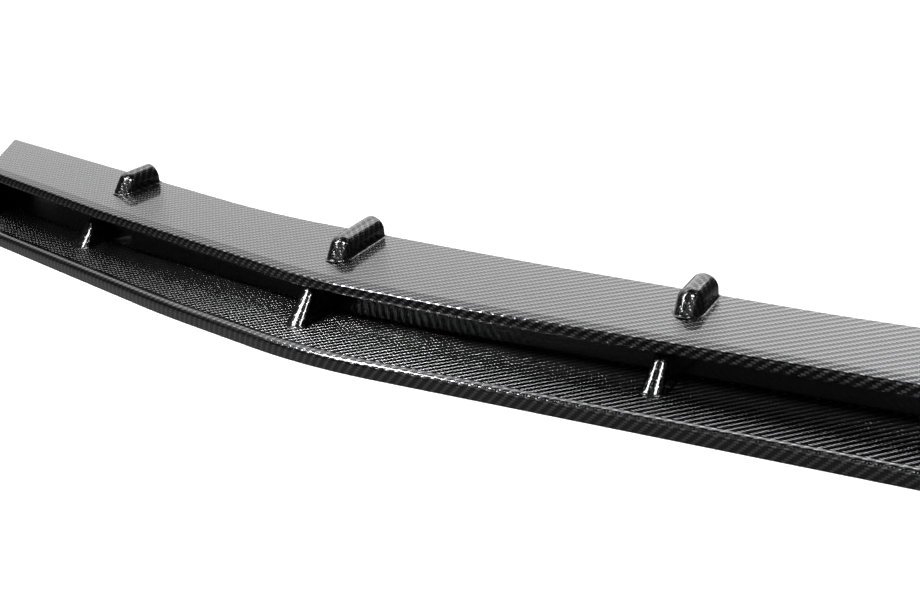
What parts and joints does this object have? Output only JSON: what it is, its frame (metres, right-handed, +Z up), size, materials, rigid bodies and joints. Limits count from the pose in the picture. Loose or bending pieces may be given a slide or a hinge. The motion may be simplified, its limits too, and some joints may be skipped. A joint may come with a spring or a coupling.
{
  "type": "front splitter lip",
  "caption": "Two-tier front splitter lip: a lower blade with a rolled lip and an upper blade on a recessed wall, with fins on top and ribs in the channel.",
  "frame": {"origin": "centre plane of the car, top face of the rear flange, on the row of the two inner screw holes", "axes": "+X across the car, +Y towards the back of the car, +Z up"},
  "size_m": [1.887, 0.2783, 0.0748],
  "materials": {
    "laminate": "woven carbon laminate under a clear gloss coat"
  },
  "bodies": {
    "root": {"lower_blade": "laminate", "upper_blade": "laminate", "top_fins": "laminate", "channel_rib_1": "laminate", "channel_rib_2": "laminate", "channel_rib_3": "laminate", "channel_rib_4": "laminate", "channel_rib_5": "laminate", "channel_rib_6": "laminate"}
  },
  "joints": []
}
